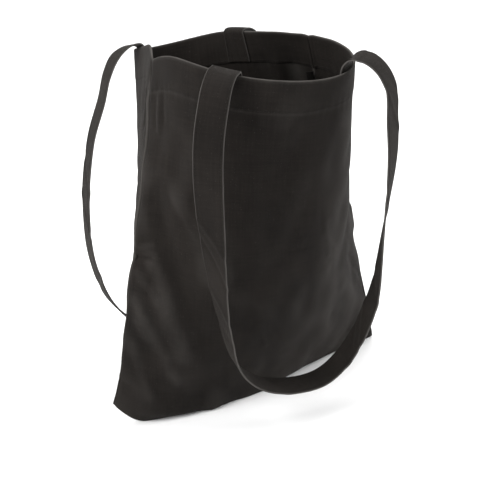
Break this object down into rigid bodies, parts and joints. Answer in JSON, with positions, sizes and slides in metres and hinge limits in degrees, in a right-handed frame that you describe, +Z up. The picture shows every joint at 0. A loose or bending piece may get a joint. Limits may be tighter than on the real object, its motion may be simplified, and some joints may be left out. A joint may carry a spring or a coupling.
{
  "type": "canvas tote bag",
  "caption": "Flat two-panel canvas tote bag standing open, with a deep hem round its mouth and a long hanging handle on each side.",
  "frame": {"origin": "on the floor, under the middle of the bag's bounding box", "axes": "+Z up, front panel faces -Y, +X to the right as seen from the front"},
  "size_m": [0.376, 0.3322, 0.4113],
  "materials": {
    "canvas": "washed black cotton canvas, matt",
    "thread": "black polyester-cotton sewing thread"
  },
  "bodies": {
    "bag": {"front_panel": "canvas", "back_panel": "canvas", "left_side_seam": "thread", "right_side_seam": "thread", "bottom_seam": "thread", "hem_stitching": "thread", "front_left_handle_end": "canvas", "front_left_tack_stitching": "thread", "front_right_handle_end": "canvas", "front_right_tack_stitching": "thread", "back_left_handle_end": "canvas", "back_left_tack_stitching": "thread", "back_right_handle_end": "canvas", "back_right_tack_stitching": "thread"},
    "front_handle": {"front_handle": "canvas"},
    "back_handle": {"back_handle": "canvas"}
  },
  "joints": [
    {"name": "front_handle_swing", "type": "hinge", "parent": "bag", "child": "front_handle", "pos_m": [-0.0325, -0.0963, 0.40753], "axis": [-0.9319, 0.3627, -0.0017], "range_deg": [0, 180]},
    {"name": "back_handle_swing", "type": "hinge", "parent": "bag", "child": "back_handle", "pos_m": [-0.01642, 0.09877, 0.39582], "axis": [0.9333, -0.3518, 0.0727], "range_deg": [0, 180]}
  ]
}
